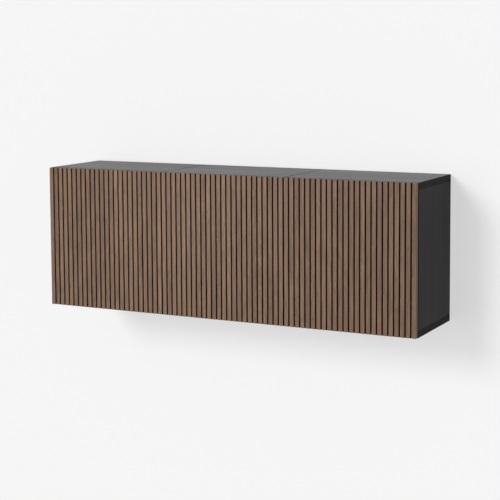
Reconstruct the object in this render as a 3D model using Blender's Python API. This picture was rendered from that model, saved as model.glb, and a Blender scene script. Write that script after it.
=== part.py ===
"""Wall cabinet of three joined modules with ribbed, handleless doors.

Metres, +Z up, +X to the right, +Y towards the wall. The wall is the plane Y = 0 and the doors face -Y.
The origin is the centre of the back face of the middle wall rail, halfway along the cabinet.
Inside a module, x runs from its left edge, y from the wall and z from the underside of the cabinet.
"""
import math

import bmesh
import bpy
from mathutils import Matrix, Vector

# Whole cabinet
MODULE_NAMES = ("left", "centre", "right")
HINGE_HANDS = {"left": 1, "centre": 1, "right": -1}   # 1 hinges on the module's left side, -1 on its right
MODULE_PITCH = 0.600
BODY_HEIGHT = 0.640
BODY_DEPTH = 0.400
SEAM = 0.0003                # hairline between pieces that touch

# Carcass boards
SIDE_THICKNESS = 0.020
END_THICKNESS = 0.030        # top and bottom boards
BACK_THICKNESS = 0.008
BACK_RECESS = 0.018          # from the wall to the back board
GROOVE_DEPTH = 0.008         # groove that holds the back board
GROOVE_CLEARANCE = 0.0005

# Shelf and the pins that carry it
SHELF_THICKNESS = 0.018
SHELF_SIDE_CLEARANCE = 0.001
SHELF_FRONT_SETBACK = 0.022
SHELF_BACK_CLEARANCE = 0.002
SHELF_UNDERSIDE = 0.311
SHELF_PIN_RADIUS = 0.0025
SHELF_PIN_LENGTH = 0.007
SHELF_PIN_INSET = 0.050      # from the shelf's front and back edges
PIN_HOLE_PITCH = 0.032
PIN_HOLE_STEPS = (-2, -1, 1, 2)          # free holes below and above each pin
PIN_HOLE_DEPTH = 0.009

# Doors
DOOR_THICKNESS = 0.018
DOOR_BACK_GAP = 0.002        # bumper thickness between door and carcass
DOOR_SIDE_REVEAL = 0.00225
DOOR_END_REVEAL = 0.001
FLUTE_COUNT = 23
FLUTE_WIDTH = 0.0065
FLUTE_DEPTH = 0.005
FLUTE_CHAMFER = 0.0006

# Concealed hinge. u runs from the door's hinge edge across the door, v from the door's back towards the
# wall, and w up from the middle of the hinge.
HINGE_END_DISTANCE = 0.100   # hinge centre from the door's top or bottom edge
CUP_RADIUS = 0.0175
CUP_DEPTH = 0.0115
CUP_CLEARANCE = 0.0003
CUP_CENTRE_U = 0.0215
CUP_FLANGE_TOP = 0.001
CUP_FLANGE_HALF = (                      # (u, w) of the flange's upper half, with the ear for its screw
    (0.0215, 0.0168), (0.0240, 0.0190), (0.0240, 0.0270), (0.0260, 0.0285),
    (0.0350, 0.0285), (0.0370, 0.0270), (0.0370, 0.0190), (0.0400, 0.0130),
)
COLLAR_INSET = 0.0004                    # collar that joins the flange to the cup, inside the cup's rim
COLLAR_ROOT = 0.002
COLLAR_TURN = math.radians(82)
COLLAR_STEPS = 12
POCKET_U = (0.0067, 0.0363)
POCKET_FLOOR = -0.0103
POCKET_HALF_WIDTH = 0.007
OUTER_FIXED_PIVOT = (0.03185, 0.01235)
OUTER_DOOR_PIVOT = (0.00950, -0.00595)
INNER_FIXED_PIVOT = (0.03275, -0.00550)
INNER_DOOR_PIVOT = (0.01400, -0.00495)
INNER_EYE_OFFSET = (0.00080, -0.00075)   # the open pivot's eye is centred on the pin's drift
INNER_EYE_PLAY = 0.00125
OUTER_BEND = ((0.01560, -0.00790), (0.01800, -0.00690))
INNER_BEND = ((0.02300, -0.00680),)
LINK_HALF_WIDTH = 0.0015
LINK_LAYER = (0.0006, 0.0044)            # outer link above the middle, inner link below it
PIVOT_PIN_RADIUS = 0.0010
PIVOT_PIN_SINK = 0.001                   # how far a pin stands in the wall that holds it
PIVOT_PIN_END_GAP = 0.0002
PIVOT_CLEARANCE = 0.0003
EYE_RADIUS = 0.0023
EYE_BOSS = 0.0003                        # an eye stands proud of its strap on both sides
OPEN_EYE_WALL = 0.0009
CHEEK_LAYER = (0.0047, 0.0065)
ARM_BACK = 0.060
ARM_TOP_U = 0.0382
ARM_NECK = (0.006, 0.009, 0.012)         # from the nose pivot back to the neck's lower, inner and upper corners
ARM_HEEL_RISE = 0.004
ARM_FOOT_FRONT = 0.027
ARM_FOOT_SINK = 0.001
WEB_BELOW_TOP = (0.0003, 0.0020)
WEB_SETBACK = (0.0125, 0.0005)           # from the nose pivot, and from the arm's back
WEB_LAP = 0.0009
PLATE_THICKNESS = 0.0034
PLATE_HALF = (                           # (v, w) of the plate's upper half, with the ear for its screw
    (0.0245, 0.0090), (0.0330, 0.0090), (0.0330, 0.0240), (0.0350, 0.0260),
    (0.0430, 0.0260), (0.0450, 0.0240), (0.0450, 0.0090), (0.0620, 0.0090),
)

# Push latch under the top board
LATCH_EDGE_DISTANCE = 0.060  # latch axis from the door's free edge
LATCH_LENGTH = 0.060
LATCH_HALF_WIDTH = 0.0075
LATCH_FRONT_SETBACK = 0.006
LATCH_BEVEL = 0.003
LATCH_AXIS_DROP = 0.0015     # from the middle of the housing's width
LATCH_TAB_REACH = 0.009
LATCH_TAB_SPAN = (0.020, 0.038)
LATCH_TAB_LAYER = (0.00005, 0.0025)      # below the top board
PLUNGER_RADIUS = 0.004
PLUNGER_HEAD_RADIUS = 0.005
PLUNGER_HEAD_LENGTH = 0.004
PLUNGER_HEAD_BEVEL = 0.0006
PLUNGER_NECK_TAPER = 0.0004
PLUNGER_LENGTH = 0.040
PLUNGER_CLEARANCE = 0.0003
PLUNGER_BORE_DEPTH = 0.044

# Wall rail and cabinet hangers
RAIL_DROP = 0.045            # rail centre below the top board
RAIL_HALF_HEIGHT = 0.020
RAIL_SHEET = 0.002
RAIL_LIP_OFFSET = 0.006      # gap behind the rail's upper lip
RAIL_FOLD_RISE = 0.0045      # from the rail's centre to its fold
RAIL_FOLD_HEIGHT = 0.004
RAIL_FOLD_LAP = 0.0011       # the fold's front face starts this much lower than its back face
RAIL_END_GAP = 0.001
RAIL_HOLE_RADIUS = 0.003
RAIL_HOLE_COUNT = 4
HANGER_WIDTH = 0.017
HANGER_HEIGHT = 0.052
HANGER_DEPTH = 0.036
HANGER_TOP_GAP = 0.003
HANGER_BEVEL = 0.006
HOOK_WIDTH = 0.011
HOOK_THICKNESS = 0.0026
HOOK_BAR_HEIGHT = 0.0037
HOOK_ROOT = 0.004
HOOK_DROP = 0.011

# Values that follow
FRONT_Y = -BODY_DEPTH
DOOR_BACK_Y = FRONT_Y - DOOR_BACK_GAP
DOOR_FRONT_Y = DOOR_BACK_Y - DOOR_THICKNESS
BODY_LEFT = SEAM / 2
BODY_RIGHT = MODULE_PITCH - SEAM / 2
INNER_LEFT = BODY_LEFT + SIDE_THICKNESS
INNER_RIGHT = BODY_RIGHT - SIDE_THICKNESS
INNER_BOTTOM = END_THICKNESS
INNER_TOP = BODY_HEIGHT - END_THICKNESS
RAIL_CENTRE_Z = INNER_TOP - RAIL_DROP
BACK_FRONT_Y = -(BACK_RECESS + BACK_THICKNESS)
SHELF_TOP = SHELF_UNDERSIDE + SHELF_THICKNESS
SHELF_Y = (FRONT_Y + SHELF_FRONT_SETBACK, BACK_FRONT_Y - SHELF_BACK_CLEARANCE)
INNER_SIDE_U = INNER_LEFT - DOOR_SIDE_REVEAL
HINGE_HEIGHTS = {
    "lower": DOOR_END_REVEAL + HINGE_END_DISTANCE,
    "upper": BODY_HEIGHT - DOOR_END_REVEAL - HINGE_END_DISTANCE,
}

AXES = {"X": (1, 2, 0), "Y": (0, 2, 1), "Z": (0, 1, 2)}   # outline's first axis, its second, extrusion


def clear_scene():
    for old in list(bpy.data.objects):
        bpy.data.objects.remove(old, do_unlink=True)


def make_material(name, colour, roughness, metallic=0.0):
    mat = bpy.data.materials.new(name)
    mat.use_nodes = True
    shader = mat.node_tree.nodes["Principled BSDF"]
    shader.inputs["Base Color"].default_value = (*colour, 1.0)
    shader.inputs["Roughness"].default_value = roughness
    shader.inputs["Metallic"].default_value = metallic
    mat.diffuse_color = (*colour, 1.0)
    return mat


def object_from(bm, name, mat=None):
    """Turn a bmesh into an object whose faces point outwards."""
    bmesh.ops.recalc_face_normals(bm, faces=bm.faces)
    mesh = bpy.data.meshes.new(name)
    bm.to_mesh(mesh)
    bm.free()
    obj = bpy.data.objects.new(name, mesh)
    bpy.context.scene.collection.objects.link(obj)
    if mat:
        mesh.materials.append(mat)
    return obj


def extrude(name, outline, axis, low, high, mat=None):
    """Extrude a closed 2D outline along X, Y or Z, from low to high."""
    first, second, along = AXES[axis]
    bm = bmesh.new()
    ring = []
    for a, b in outline:
        point = [0.0, 0.0, 0.0]
        point[first] = a
        point[second] = b
        point[along] = low
        ring.append(bm.verts.new(point))
    cap = bm.faces.new(ring)
    grown = bmesh.ops.extrude_face_region(bm, geom=[cap])
    moved = [item for item in grown["geom"] if isinstance(item, bmesh.types.BMVert)]
    step = Vector((0.0, 0.0, 0.0))
    step[along] = high - low
    bmesh.ops.translate(bm, verts=moved, vec=step)
    return object_from(bm, name, mat)


def block(name, x, y, z, mat=None):
    """A box between the given (low, high) pairs."""
    outline = [(x[0], y[0]), (x[1], y[0]), (x[1], y[1]), (x[0], y[1])]
    return extrude(name, outline, "Z", z[0], z[1], mat)


def circle(centre, radius, count, start=0.0):
    """Points round a circle, as an outline."""
    step = 2 * math.pi / count
    return [
        (centre[0] + radius * math.cos(start + i * step), centre[1] + radius * math.sin(start + i * step))
        for i in range(count)
    ]


def mirrored(half):
    """A whole outline from its upper half, given as (place, height over the middle) points."""
    return [(a, -b) for a, b in half] + list(half[::-1])


def combine(obj, tool, operation):
    """Join, or cut with, another object, and drop that object."""
    change = obj.modifiers.new(operation.lower(), "BOOLEAN")
    change.operation = operation
    change.object = tool
    graph = bpy.context.evaluated_depsgraph_get()
    result = bpy.data.meshes.new_from_object(obj.evaluated_get(graph))
    old = obj.data
    obj.modifiers.clear()
    obj.data = result
    result.name = obj.name
    bpy.data.meshes.remove(old)
    bpy.data.objects.remove(tool, do_unlink=True)


def add(obj, *tools):
    for tool in tools:
        combine(obj, tool, "UNION")


def cut(obj, *tools):
    for tool in tools:
        combine(obj, tool, "DIFFERENCE")


def seat(obj, parent, origin=(0.0, 0.0, 0.0)):
    """Hang an object modelled in its parent's space on that parent, with its own origin at a point."""
    obj.data.transform(Matrix.Translation(-Vector(origin)))
    obj.location = origin
    obj.parent = parent


def empty(name, location, parent=None):
    obj = bpy.data.objects.new(name, None)
    obj.empty_display_size = 0.05
    obj.location = location
    obj.parent = parent
    bpy.context.scene.collection.objects.link(obj)
    return obj


# Carcass boards

def side_board(name, x_outer, inward, module, mats):
    """A side with the back board's groove, the two shelf pins it carries and the free holes for pins."""
    x_inner = x_outer + inward * SIDE_THICKNESS
    x_groove = x_inner - inward * GROOVE_DEPTH
    groove_front = BACK_FRONT_Y - GROOVE_CLEARANCE
    groove_back = -BACK_RECESS + GROOVE_CLEARANCE
    outline = [
        (x_outer, FRONT_Y), (x_inner, FRONT_Y), (x_inner, groove_front), (x_groove, groove_front),
        (x_groove, groove_back), (x_inner, groove_back), (x_inner, 0.0), (x_outer, 0.0),
    ]
    board = extrude(name, outline, "Z", INNER_BOTTOM + SEAM, INNER_TOP - SEAM, mats["carcass"])
    pin_z = SHELF_UNDERSIDE - SEAM - SHELF_PIN_RADIUS
    reach = sorted((x_inner - inward * SHELF_PIN_LENGTH, x_inner + inward * SHELF_PIN_LENGTH))
    depth = sorted((x_inner - inward * PIN_HOLE_DEPTH, x_inner + inward * PIN_HOLE_DEPTH))
    for pin_y in (SHELF_Y[0] + SHELF_PIN_INSET, SHELF_Y[1] - SHELF_PIN_INSET):
        ring = circle((pin_y, pin_z), SHELF_PIN_RADIUS, 12, math.pi / 12)
        add(board, extrude("pin", ring, "X", *reach))
        for step in PIN_HOLE_STEPS:
            ring = circle((pin_y, pin_z + step * PIN_HOLE_PITCH), SHELF_PIN_RADIUS, 8, math.pi / 8)
            cut(board, extrude("hole", ring, "X", *depth))
    seat(board, module, (x_outer, 0.0, 0.0))


def end_board(name, z_outer, inward, module, mats):
    """The top or the bottom board, over the ends of the sides, with the back board's groove."""
    z_inner = z_outer + inward * END_THICKNESS
    z_groove = z_inner - inward * GROOVE_DEPTH
    groove_front = BACK_FRONT_Y - GROOVE_CLEARANCE
    groove_back = -BACK_RECESS + GROOVE_CLEARANCE
    outline = [
        (FRONT_Y, z_outer), (FRONT_Y, z_inner), (groove_front, z_inner), (groove_front, z_groove),
        (groove_back, z_groove), (groove_back, z_inner), (0.0, z_inner), (0.0, z_outer),
    ]
    board = extrude(name, outline, "X", BODY_LEFT, BODY_RIGHT, mats["carcass"])
    seat(board, module, (0.0, 0.0, z_outer))


def back_board(name, module, mats):
    """The back, notched at its upper corners where the hangers' hooks come through."""
    slide = GROOVE_DEPTH - GROOVE_CLEARANCE
    left, right = INNER_LEFT - slide, INNER_RIGHT + slide
    low, high = INNER_BOTTOM - slide, INNER_TOP + slide
    notch_x = HANGER_WIDTH + SEAM
    notch_z = RAIL_CENTRE_Z + RAIL_HALF_HEIGHT - HOOK_BAR_HEIGHT
    outline = [
        (left, low), (right, low), (right, notch_z), (INNER_RIGHT - notch_x, notch_z),
        (INNER_RIGHT - notch_x, high), (INNER_LEFT + notch_x, high), (INNER_LEFT + notch_x, notch_z),
        (left, notch_z),
    ]
    board = extrude(name, outline, "Y", BACK_FRONT_Y, -BACK_RECESS, mats["carcass"])
    seat(board, module, (0.0, -BACK_RECESS, 0.0))


def shelf_board(name, module, mats):
    x = (INNER_LEFT + SHELF_SIDE_CLEARANCE, INNER_RIGHT - SHELF_SIDE_CLEARANCE)
    shelf = block(name, x, SHELF_Y, (SHELF_UNDERSIDE, SHELF_TOP), mats["carcass"])
    seat(shelf, module, (0.0, 0.0, SHELF_UNDERSIDE))


# Doors

def door_outline():
    """The door's section from above: a flat back, and a front with chamfered flutes."""
    left, right = DOOR_SIDE_REVEAL, MODULE_PITCH - DOOR_SIDE_REVEAL
    floor = DOOR_FRONT_Y + FLUTE_DEPTH
    pitch = MODULE_PITCH / (FLUTE_COUNT + 1)
    edge = FLUTE_CHAMFER
    points = [
        (right - edge, DOOR_FRONT_Y), (right, DOOR_FRONT_Y + edge), (right, DOOR_BACK_Y),
        (left, DOOR_BACK_Y), (left, DOOR_FRONT_Y + edge), (left + edge, DOOR_FRONT_Y),
    ]
    for i in range(1, FLUTE_COUNT + 1):
        near = i * pitch - FLUTE_WIDTH / 2
        far = i * pitch + FLUTE_WIDTH / 2
        points += [
            (near - edge, DOOR_FRONT_Y), (near, DOOR_FRONT_Y + edge), (near, floor),
            (far, floor), (far, DOOR_FRONT_Y + edge), (far + edge, DOOR_FRONT_Y),
        ]
    return points


def hinge_x(u, hand):
    """Module x of a place u across the door from its hinge edge."""
    return DOOR_SIDE_REVEAL + u if hand > 0 else MODULE_PITCH - DOOR_SIDE_REVEAL - u


def hinge_points(points, hand):
    """Hinge (u, v) points as module (x, y) points."""
    return [(hinge_x(u, hand), DOOR_BACK_Y + v) for u, v in points]


def hinge_span(low, high, hand):
    return tuple(sorted((hinge_x(low, hand), hinge_x(high, hand))))


def door(name, hand, module, mats):
    z = (DOOR_END_REVEAL, BODY_HEIGHT - DOOR_END_REVEAL)
    panel = extrude(name, door_outline(), "Z", *z, mats["door"])
    for height in HINGE_HEIGHTS.values():
        ring = circle((hinge_x(CUP_CENTRE_U, hand), height), CUP_RADIUS, 40)
        cut(panel, extrude("bore", ring, "Y", DOOR_BACK_Y - CUP_DEPTH, DOOR_BACK_Y + CUP_DEPTH))
    pivot = hinge_points([OUTER_DOOR_PIVOT], hand)[0]
    seat(panel, module, (*pivot, 0.0))


# Concealed hinges

def pivot_pin(place, hand, height, layer):
    """A stub pin, standing up or down from the hinge's middle."""
    low, high = sorted(height + w for w in layer)
    return extrude("pin", circle(hinge_points([place], hand)[0], PIVOT_PIN_RADIUS, 12), "Z", low, high)


def hinge_cup(name, hand, height, module, mats):
    """The cup in its bore, its screw flange, its pocket and the two pivot pins across the pocket."""
    centre = (hinge_x(CUP_CENTRE_U, hand), height)
    radius = CUP_RADIUS - CUP_CLEARANCE
    floor = DOOR_BACK_Y - CUP_DEPTH + CUP_CLEARANCE
    cup = extrude(name, circle(centre, radius, 40), "Y", floor, DOOR_BACK_Y, mats["steel"])
    reach = radius - COLLAR_INSET
    arc = [COLLAR_TURN * (2 * i / COLLAR_STEPS - 1) for i in range(COLLAR_STEPS + 1)]
    collar = [(CUP_CENTRE_U + reach * math.cos(a), height + reach * math.sin(a)) for a in arc]
    collar = [(hinge_x(u, hand), z) for u, z in collar]
    flange = [(hinge_x(u, hand), height + w) for u, w in mirrored(CUP_FLANGE_HALF)]
    top = DOOR_BACK_Y + CUP_FLANGE_TOP
    add(
        cup,
        extrude("collar", collar, "Y", DOOR_BACK_Y - COLLAR_ROOT, top - 0.0001),
        extrude("flange", flange, "Y", DOOR_BACK_Y + SEAM, top),
    )
    pocket_z = (height - POCKET_HALF_WIDTH, height + POCKET_HALF_WIDTH)
    pocket_y = (DOOR_BACK_Y + POCKET_FLOOR, DOOR_BACK_Y + CUP_DEPTH)
    cut(cup, block("pocket", hinge_span(*POCKET_U, hand), pocket_y, pocket_z))
    wall = POCKET_HALF_WIDTH + PIVOT_PIN_SINK
    inner = LINK_LAYER[0] - PIVOT_PIN_END_GAP
    add(cup, pivot_pin(OUTER_DOOR_PIVOT, hand, height, (inner, wall)))
    add(cup, pivot_pin(INNER_DOOR_PIVOT, hand, height, (-wall, -inner)))
    pivot = hinge_points([OUTER_DOOR_PIVOT], hand)[0]
    seat(cup, module, (*pivot, height))


def hinge_arm(name, hand, height, module, mats):
    """The arm's two cheeks, top web and pivot pins, on the plate that is screwed to the cabinet side."""
    nose, heel = INNER_FIXED_PIVOT, OUTER_FIXED_PIVOT
    reach = EYE_RADIUS + PIVOT_CLEARANCE
    plate_top = INNER_SIDE_U + SEAM + PLATE_THICKNESS
    foot = plate_top - ARM_FOOT_SINK
    neck_low, neck_inner, neck_top = (nose[1] + rise for rise in ARM_NECK)
    cheek = [
        (nose[0] - reach, nose[1] - reach), (nose[0] + reach, nose[1] - reach), (nose[0] + reach, neck_inner),
        (ARM_TOP_U, neck_top), (ARM_TOP_U, ARM_BACK), (foot, ARM_BACK), (foot, ARM_FOOT_FRONT),
        (heel[0] - reach, heel[1] + ARM_HEEL_RISE), (heel[0] - reach, heel[1] - reach),
        (nose[0] - reach, neck_low),
    ]
    cheek = hinge_points(cheek, hand)
    inner, outer = CHEEK_LAYER
    arm = extrude(name, cheek, "Z", height + inner, height + outer, mats["steel"])
    web_x = hinge_span(*(ARM_TOP_U - drop for drop in WEB_BELOW_TOP), hand)
    web_y = (DOOR_BACK_Y + nose[1] + WEB_SETBACK[0], DOOR_BACK_Y + ARM_BACK - WEB_SETBACK[1])
    web_z = (height - inner - WEB_LAP, height + inner + WEB_LAP)
    plate = [(DOOR_BACK_Y + v, height + w) for v, w in mirrored(PLATE_HALF)]
    pin_reach = inner + PIVOT_PIN_SINK
    gap = LINK_LAYER[0] - PIVOT_PIN_END_GAP
    add(
        arm,
        block("web", web_x, web_y, web_z),
        extrude("cheek", cheek, "Z", height - outer, height - inner),
        extrude("plate", plate, "X", *hinge_span(INNER_SIDE_U + SEAM, plate_top, hand)),
        pivot_pin(OUTER_FIXED_PIVOT, hand, height, (gap, pin_reach)),
        pivot_pin(INNER_FIXED_PIVOT, hand, height, (-pin_reach, -gap)),
    )
    seat(arm, module, (hinge_x(INNER_SIDE_U, hand), DOOR_BACK_Y, height))


def strap(points, half_width):
    """Outline of a flat strap that follows a few points, mitred where it bends."""
    left, right = [], []
    for i, point in enumerate(points):
        here = Vector(point)
        before = Vector(points[max(i - 1, 0)])
        after = Vector(points[min(i + 1, len(points) - 1)])
        arriving = (here - before).normalized() if i else (after - here).normalized()
        leaving = (after - here).normalized() if i < len(points) - 1 else arriving
        along = (arriving + leaving).normalized()
        side = Vector((-along.y, along.x)) * (half_width / max(along.dot(leaving), 0.5))
        left.append(tuple(here + side))
        right.append(tuple(here - side))
    return left + right[::-1]


def hinge_link(name, path, eyes, holes, layer, hand, height, module, mats):
    """A bent link: a strap with an eye at each end. Its origin is on its fixed pivot."""
    low, high = sorted(height + w for w in layer)
    outline = strap(hinge_points(path, hand), LINK_HALF_WIDTH)
    link = extrude(name, outline, "Z", low + EYE_BOSS, high - EYE_BOSS, mats["steel"])
    ends = hinge_points((path[0], path[-1]), hand)
    for centre, radius in zip(ends, eyes):
        add(link, extrude("eye", circle(centre, radius, 16), "Z", low, high))
    for centre, radius in zip(ends, holes):
        cut(link, extrude("hole", circle(centre, radius, 12), "Z", low - EYE_BOSS, high + EYE_BOSS))
    seat(link, module, (*ends[0], height))


def hinge(place, hand, module_name, module, mats):
    height = HINGE_HEIGHTS[place]
    tag = f"{module_name}_{place}"
    running = PIVOT_PIN_RADIUS + PIVOT_CLEARANCE
    loose = PIVOT_PIN_RADIUS + INNER_EYE_PLAY
    open_eye = tuple(a + b for a, b in zip(INNER_DOOR_PIVOT, INNER_EYE_OFFSET))
    hinge_cup(f"hinge_cup_{tag}", hand, height, module, mats)
    hinge_arm(f"hinge_arm_{tag}", hand, height, module, mats)
    hinge_link(
        f"hinge_outer_link_{tag}", (OUTER_FIXED_PIVOT, *OUTER_BEND[::-1], OUTER_DOOR_PIVOT),
        (EYE_RADIUS, EYE_RADIUS), (running, running), LINK_LAYER, hand, height, module, mats,
    )
    hinge_link(
        f"hinge_inner_link_{tag}", (INNER_FIXED_PIVOT, *INNER_BEND, open_eye),
        (EYE_RADIUS, loose + OPEN_EYE_WALL), (running, loose), [-w for w in LINK_LAYER], hand, height, module, mats,
    )


# Push latch

def push_latch(module_name, hand, module, mats):
    """A screwed-on housing under the top board, and the plunger that pushes the door open."""
    x = hinge_x(MODULE_PITCH - 2 * DOOR_SIDE_REVEAL - LATCH_EDGE_DISTANCE, hand)
    ceiling = INNER_TOP - SEAM
    half, bevel = LATCH_HALF_WIDTH, LATCH_BEVEL
    axis_z = ceiling - half - LATCH_AXIS_DROP
    front = FRONT_Y + LATCH_FRONT_SETBACK
    back = front + LATCH_LENGTH
    section = [
        (x - half, ceiling), (x - half, axis_z - half + bevel), (x - half + bevel, axis_z - half),
        (x + half - bevel, axis_z - half), (x + half, axis_z - half + bevel), (x + half, ceiling),
    ]
    housing = extrude(f"latch_housing_{module_name}", section, "Y", front, back, mats["plastic"])
    tab_x = (x - half - LATCH_TAB_REACH, x + half + LATCH_TAB_REACH)
    tab_y = tuple(front + way for way in LATCH_TAB_SPAN)
    tab_z = tuple(sorted(ceiling - drop for drop in LATCH_TAB_LAYER))
    add(housing, block("tab", tab_x, tab_y, tab_z))
    bore = circle((x, axis_z), PLUNGER_RADIUS + PLUNGER_CLEARANCE, 16)
    cut(housing, extrude("bore", bore, "Y", front - PLUNGER_RADIUS, front + PLUNGER_BORE_DEPTH))
    seat(housing, module, (x, front, ceiling))

    tip = DOOR_BACK_Y + SEAM
    neck = tip + PLUNGER_HEAD_LENGTH
    radius, head, edge = PLUNGER_RADIUS, PLUNGER_HEAD_RADIUS, PLUNGER_HEAD_BEVEL
    profile = [
        (0.0, tip), (head - edge, tip), (head, tip + edge), (head, neck), (radius, neck + PLUNGER_NECK_TAPER),
        (radius, tip + PLUNGER_LENGTH), (0.0, tip + PLUNGER_LENGTH),
    ]
    plunger = turned(f"latch_plunger_{module_name}", profile, (x, axis_z), 16, mats["plastic"])
    seat(plunger, module, (x, tip, axis_z))


def turned(name, profile, centre, count, mat):
    """Turn a (radius, y) profile round an axis along Y. The profile starts and ends on the axis."""
    bm = bmesh.new()
    rings = []
    for radius, y in profile:
        if radius == 0.0:
            rings.append([bm.verts.new((centre[0], y, centre[1]))])
            continue
        rings.append([bm.verts.new((a, y, b)) for a, b in circle(centre, radius, count)])
    for near, far in zip(rings, rings[1:]):
        for i in range(count):
            j = (i + 1) % count
            if len(near) == 1:
                bm.faces.new((near[0], far[i], far[j]))
            elif len(far) == 1:
                bm.faces.new((near[i], near[j], far[0]))
            else:
                bm.faces.new((near[i], near[j], far[j], far[i]))
    obj = object_from(bm, name, mat)
    obj.data.shade_smooth()
    obj.data.set_sharp_from_angle(angle=math.radians(40))
    return obj


# Wall rail and hangers

def wall_rail(name, module, mats):
    """A folded steel rail whose upper lip stands off the wall, so that the hooks drop in behind it."""
    low, high = RAIL_CENTRE_Z - RAIL_HALF_HEIGHT, RAIL_CENTRE_Z + RAIL_HALF_HEIGHT
    fold = RAIL_CENTRE_Z + RAIL_FOLD_RISE
    front_fold = fold - RAIL_FOLD_LAP
    lip = -RAIL_LIP_OFFSET
    section = [
        (0.0, low), (0.0, fold), (lip, fold + RAIL_FOLD_HEIGHT), (lip, high), (lip - RAIL_SHEET, high),
        (lip - RAIL_SHEET, front_fold + RAIL_FOLD_HEIGHT), (-RAIL_SHEET, front_fold), (-RAIL_SHEET, low),
    ]
    ends = (INNER_LEFT + RAIL_END_GAP, INNER_RIGHT - RAIL_END_GAP)
    rail = extrude(name, section, "X", *ends, mats["steel"])
    hole_z = (low + fold) / 2
    spacing = (ends[1] - ends[0]) / RAIL_HOLE_COUNT
    for i in range(RAIL_HOLE_COUNT):
        ring = circle((ends[0] + (i + 0.5) * spacing, hole_z), RAIL_HOLE_RADIUS, 12, math.pi / 12)
        cut(rail, extrude("hole", ring, "Y", -2 * RAIL_SHEET, RAIL_SHEET))
    seat(rail, module, (0.0, 0.0, RAIL_CENTRE_Z))


def hanger(name, x_inner, inward, module, mats):
    """A hanger in an upper corner, screwed to the side, with its hook over the rail's lip."""
    near = x_inner + inward * SEAM
    far = x_inner + inward * HANGER_WIDTH
    box_back = BACK_FRONT_Y - SEAM
    box_front = box_back - HANGER_DEPTH
    top = INNER_TOP - HANGER_TOP_GAP
    bottom = top - HANGER_HEIGHT
    bevel = HANGER_BEVEL
    box = [
        (box_back, bottom), (box_back, top), (box_front + bevel, top), (box_front, top - bevel),
        (box_front, bottom + bevel), (box_front + bevel, bottom),
    ]
    body = extrude(name, box, "X", *sorted((near, far)), mats["steel"])
    seat_z = RAIL_CENTRE_Z + RAIL_HALF_HEIGHT + SEAM
    crown = seat_z + HOOK_BAR_HEIGHT
    tip_y = -(RAIL_LIP_OFFSET - HOOK_THICKNESS) / 2
    drop = seat_z - HOOK_DROP
    root = box_back - HOOK_ROOT
    hook = [
        (root, seat_z), (tip_y - HOOK_THICKNESS, seat_z), (tip_y - HOOK_THICKNESS, drop),
        (tip_y, drop), (tip_y, crown), (root, crown),
    ]
    middle = (near + far) / 2
    add(body, extrude("hook", hook, "X", middle - HOOK_WIDTH / 2, middle + HOOK_WIDTH / 2))
    seat(body, module, (x_inner, box_back, seat_z))


def build_module(index, root, mats):
    name = MODULE_NAMES[index]
    hand = HINGE_HANDS[name]
    left_edge = (index - len(MODULE_NAMES) / 2) * MODULE_PITCH
    module = empty(f"module_{name}", (left_edge, 0.0, 0.0), root)
    side_board(f"side_panel_{name}_l", BODY_LEFT, 1, module, mats)
    side_board(f"side_panel_{name}_r", BODY_RIGHT, -1, module, mats)
    end_board(f"bottom_panel_{name}", 0.0, 1, module, mats)
    end_board(f"top_panel_{name}", BODY_HEIGHT, -1, module, mats)
    back_board(f"back_panel_{name}", module, mats)
    shelf_board(f"shelf_{name}", module, mats)
    door(f"door_{name}", hand, module, mats)
    for place in HINGE_HEIGHTS:
        hinge(place, hand, name, module, mats)
    push_latch(name, hand, module, mats)
    wall_rail(f"wall_rail_{name}", module, mats)
    hanger(f"hanger_{name}_l", INNER_LEFT, 1, module, mats)
    hanger(f"hanger_{name}_r", INNER_RIGHT, -1, module, mats)


def main():
    clear_scene()
    mats = {
        "carcass": make_material("carcass", (0.030, 0.028, 0.027), 0.45),
        "door": make_material("door", (0.235, 0.155, 0.107), 0.55),
        "steel": make_material("hinge_steel", (0.62, 0.61, 0.59), 0.30, 1.0),
        "plastic": make_material("latch_plastic", (0.20, 0.20, 0.21), 0.45),
    }
    root = empty("cabinet", (0.0, 0.0, -RAIL_CENTRE_Z))
    for index in range(len(MODULE_NAMES)):
        build_module(index, root, mats)


main()
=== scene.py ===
"""Looks of a wall cabinet of three modules with ribbed, handleless doors. Metres, +Z up, the wall at Y = 0."""
import math

import bmesh
import bpy
from mathutils import Matrix, Vector


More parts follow.
